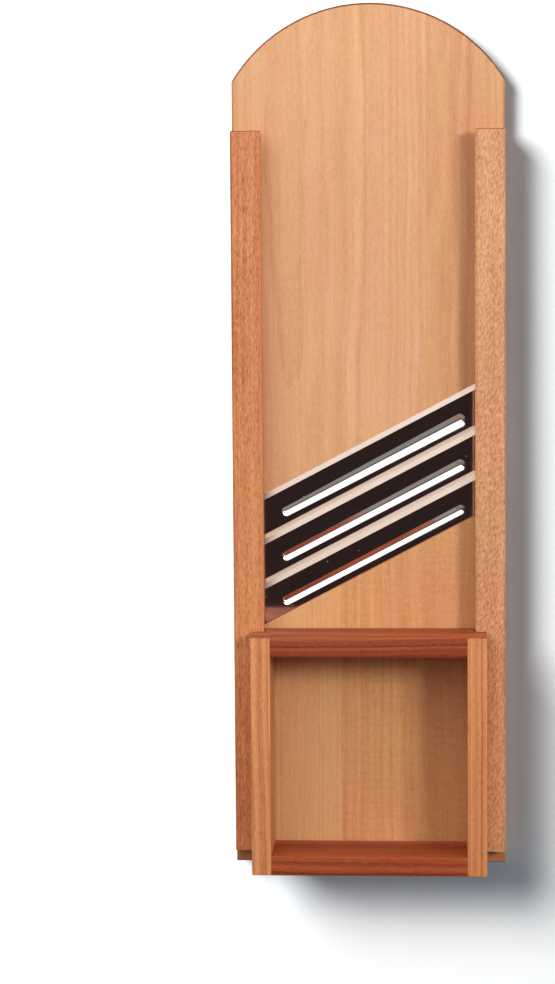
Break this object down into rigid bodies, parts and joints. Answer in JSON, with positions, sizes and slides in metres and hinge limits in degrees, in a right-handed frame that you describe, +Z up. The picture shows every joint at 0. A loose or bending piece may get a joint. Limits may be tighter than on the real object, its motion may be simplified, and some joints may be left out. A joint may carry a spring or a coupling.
{
  "type": "mandoline slicer",
  "caption": "Wooden cabbage slicer: long arched board with side rails, diagonal steel blades in its opening, and an open square finger-jointed box that slides along the rails.",
  "frame": {"origin": "on the underside of the board, in the middle of its length and width", "axes": "+X across the board, +Y along it towards the arched end, +Z up from the underside to the blades and the box"},
  "size_m": [0.172, 0.545, 0.06],
  "materials": {
    "board_beech": "planed, lightly oiled, satin",
    "rail_beech": "planed, lightly oiled, satin, with beech flecks",
    "box_light_beech": "planed, lightly oiled, satin",
    "box_red_beech": "planed, lightly oiled, satin, reddish heartwood",
    "blade_steel": "mirror-polished flats with a satin ground bevel",
    "screw_steel": "zinc-plated, satin"
  },
  "bodies": {
    "board": {"upper_wide_stave": "board_beech", "upper_narrow_stave": "board_beech", "lower_narrow_stave": "board_beech", "lower_wide_stave": "board_beech", "left_bridge": "board_beech", "right_bridge": "board_beech", "left_rail_base": "rail_beech", "right_rail_base": "rail_beech", "left_rail_cap": "rail_beech", "right_rail_cap": "rail_beech", "upper_blade": "blade_steel", "middle_blade": "blade_steel", "lower_blade": "blade_steel", "upper_blade_screws": "screw_steel", "middle_blade_screws": "screw_steel", "lower_blade_screws": "screw_steel", "left_rail_screws": "screw_steel", "right_rail_screws": "screw_steel"},
    "box": {"box_left_wall": "box_light_beech", "box_right_wall": "box_light_beech", "box_lower_wall": "box_red_beech", "box_upper_wall": "box_red_beech"}
  },
  "joints": [
    {"name": "box_slide", "type": "slide", "parent": "board", "child": "box", "axis": [0, 1, 0], "range_m": [-0.16, 0.312]}
  ]
}
